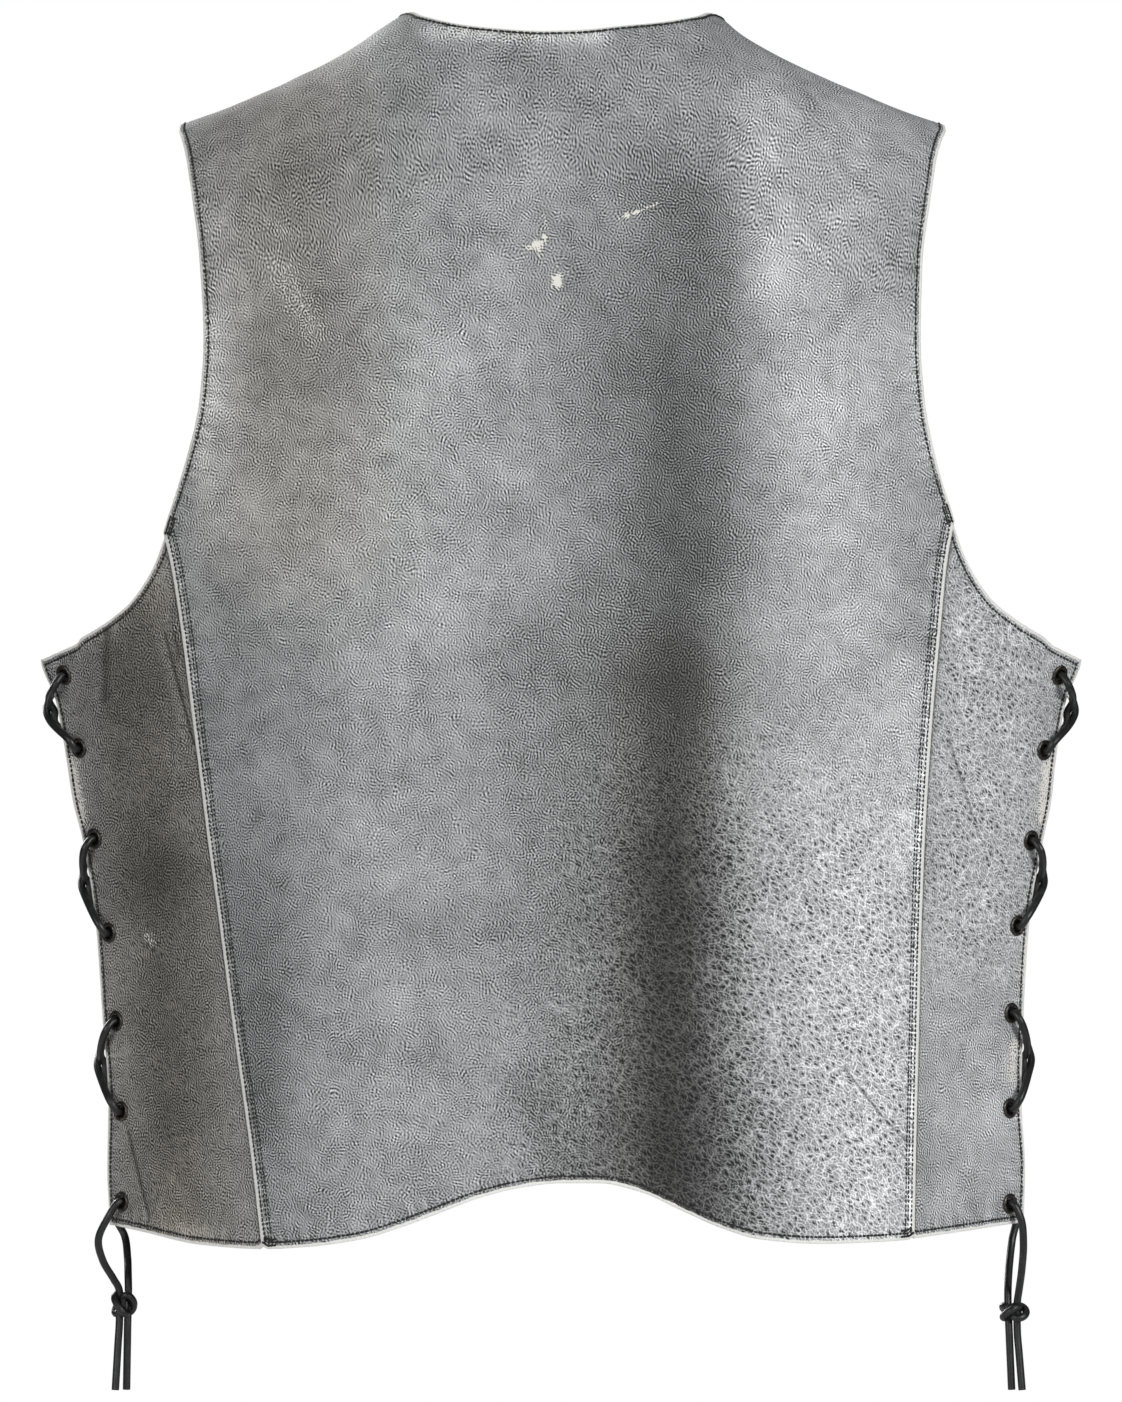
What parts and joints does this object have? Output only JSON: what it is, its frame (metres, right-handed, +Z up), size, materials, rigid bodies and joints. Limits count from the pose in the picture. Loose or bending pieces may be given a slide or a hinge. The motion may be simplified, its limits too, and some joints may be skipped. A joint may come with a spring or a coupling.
{
  "type": "western vest",
  "caption": "Distressed grey leather western vest with a one-piece back, narrow side panels and black leather lacing through dark metal eyelets at both sides.",
  "frame": {"origin": "midway between the shoulders, at the height of the middle of the shoulder line, where a wearer or a hanger carries the vest", "axes": "+Z up, the back faces -Y, the wearer faces +Y, +X towards the wearer's right"},
  "size_m": [0.572, 0.2586, 0.7569],
  "materials": {
    "leather_back": "rubbed matt grain",
    "leather_sides": "rubbed matt grain",
    "leather_fronts": "rubbed matt grain",
    "lace_leather": "satin",
    "eyelet_metal": "dark antique",
    "snap_metal": "dark antique"
  },
  "bodies": {
    "root": {"back_panel": "leather_back", "side_panel_left": "leather_sides", "side_panel_right": "leather_sides", "front_left": "leather_fronts", "front_right": "leather_fronts", "eyelet_back_left_1": "eyelet_metal", "eyelet_back_left_2": "eyelet_metal", "eyelet_back_left_3": "eyelet_metal", "eyelet_back_left_4": "eyelet_metal", "eyelet_back_left_5": "eyelet_metal", "eyelet_back_left_6": "eyelet_metal", "eyelet_back_left_7": "eyelet_metal", "eyelet_back_right_1": "eyelet_metal", "eyelet_back_right_2": "eyelet_metal", "eyelet_back_right_3": "eyelet_metal", "eyelet_back_right_4": "eyelet_metal", "eyelet_back_right_5": "eyelet_metal", "eyelet_back_right_6": "eyelet_metal", "eyelet_back_right_7": "eyelet_metal", "eyelet_front_left_1": "eyelet_metal", "eyelet_front_left_2": "eyelet_metal", "eyelet_front_left_3": "eyelet_metal", "eyelet_front_left_4": "eyelet_metal", "eyelet_front_left_5": "eyelet_metal", "eyelet_front_left_6": "eyelet_metal", "eyelet_front_left_7": "eyelet_metal", "eyelet_front_right_1": "eyelet_metal", "eyelet_front_right_2": "eyelet_metal", "eyelet_front_right_3": "eyelet_metal", "eyelet_front_right_4": "eyelet_metal", "eyelet_front_right_5": "eyelet_metal", "eyelet_front_right_6": "eyelet_metal", "eyelet_front_right_7": "eyelet_metal", "snap_1": "snap_metal", "snap_2": "snap_metal", "snap_3": "snap_metal", "snap_4": "snap_metal", "lace_left_back": "lace_leather", "lace_left_front": "lace_leather", "knot_left": "lace_leather", "tail_left_back": "lace_leather", "tail_left_front": "lace_leather", "lace_right_back": "lace_leather", "lace_right_front": "lace_leather", "knot_right": "lace_leather", "tail_right_back": "lace_leather", "tail_right_front": "lace_leather"}
  },
  "joints": []
}
